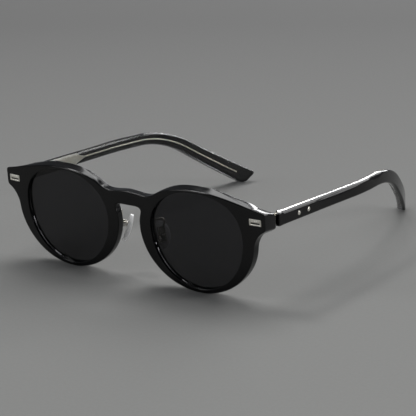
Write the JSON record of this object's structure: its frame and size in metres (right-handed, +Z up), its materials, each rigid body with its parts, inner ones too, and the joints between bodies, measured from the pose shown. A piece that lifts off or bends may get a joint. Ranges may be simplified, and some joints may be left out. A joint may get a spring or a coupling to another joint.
{
  "type": "sunglasses",
  "caption": "Round acetate sunglasses with a keyhole bridge, dark lenses, small metal plaques, adjustable clear nose pads and laminated temples that fold on barrel hinges.",
  "frame": {"origin": "middle of the whole object's footprint on the ground, glasses standing open on the rim bottoms and the temple tips", "axes": "+X to the wearer's left, lenses facing -Y, temples reaching back to +Y, +Z up"},
  "size_m": [0.1456, 0.1486, 0.0475],
  "materials": {
    "black_acetate": "polished black cellulose acetate",
    "clear_acetate": "polished clear cellulose acetate",
    "lens_tint": "dark neutral grey tint, polished",
    "plaque_metal": "polished warm nickel silver",
    "hinge_metal": "satin nickel silver",
    "screw_metal": "polished stainless steel",
    "core_metal": "satin cream nickel silver",
    "pad_metal": "satin nickel silver",
    "clear_silicone": "clear soft silicone"
  },
  "bodies": {
    "front": {"front_frame": "black_acetate", "left_lens": "lens_tint", "right_lens": "lens_tint", "left_front_plaque": "plaque_metal", "right_front_plaque": "plaque_metal", "left_front_hinge": "hinge_metal", "right_front_hinge": "hinge_metal", "left_hinge_screw": "screw_metal", "right_hinge_screw": "screw_metal", "left_pad_arm": "hinge_metal", "right_pad_arm": "hinge_metal", "left_pad_screw": "screw_metal", "right_pad_screw": "screw_metal"},
    "left_temple": {"left_temple_outer": "black_acetate", "left_temple_inner": "clear_acetate", "left_temple_hinge": "core_metal", "left_core_wire": "core_metal", "left_temple_rivets": "plaque_metal"},
    "right_temple": {"right_temple_outer": "black_acetate", "right_temple_inner": "clear_acetate", "right_temple_hinge": "core_metal", "right_core_wire": "core_metal", "right_temple_rivets": "plaque_metal"},
    "left_pad": {"left_nose_pad": "clear_silicone", "left_pad_core": "pad_metal"},
    "right_pad": {"right_nose_pad": "clear_silicone", "right_pad_core": "pad_metal"}
  },
  "joints": [
    {"name": "left_temple_fold", "type": "hinge", "parent": "front", "child": "left_temple", "pos_m": [0.0672, -0.0631, 0.03542], "axis": [0, -0.041, 0.9992], "range_deg": [0, 76]},
    {"name": "right_temple_fold", "type": "hinge", "parent": "front", "child": "right_temple", "pos_m": [-0.0672, -0.0631, 0.03542], "axis": [0, 0.041, -0.9992], "range_deg": [0, 84]},
    {"name": "left_pad_rock", "type": "hinge", "parent": "front", "child": "left_pad", "pos_m": [0.01084, -0.0639, 0.02153], "axis": [0.6157, 0.7873, 0.0323], "range_deg": [-10, 10]},
    {"name": "right_pad_rock", "type": "hinge", "parent": "front", "child": "right_pad", "pos_m": [-0.01084, -0.0639, 0.02153], "axis": [-0.6157, 0.7873, 0.0323], "range_deg": [-10, 10]}
  ]
}
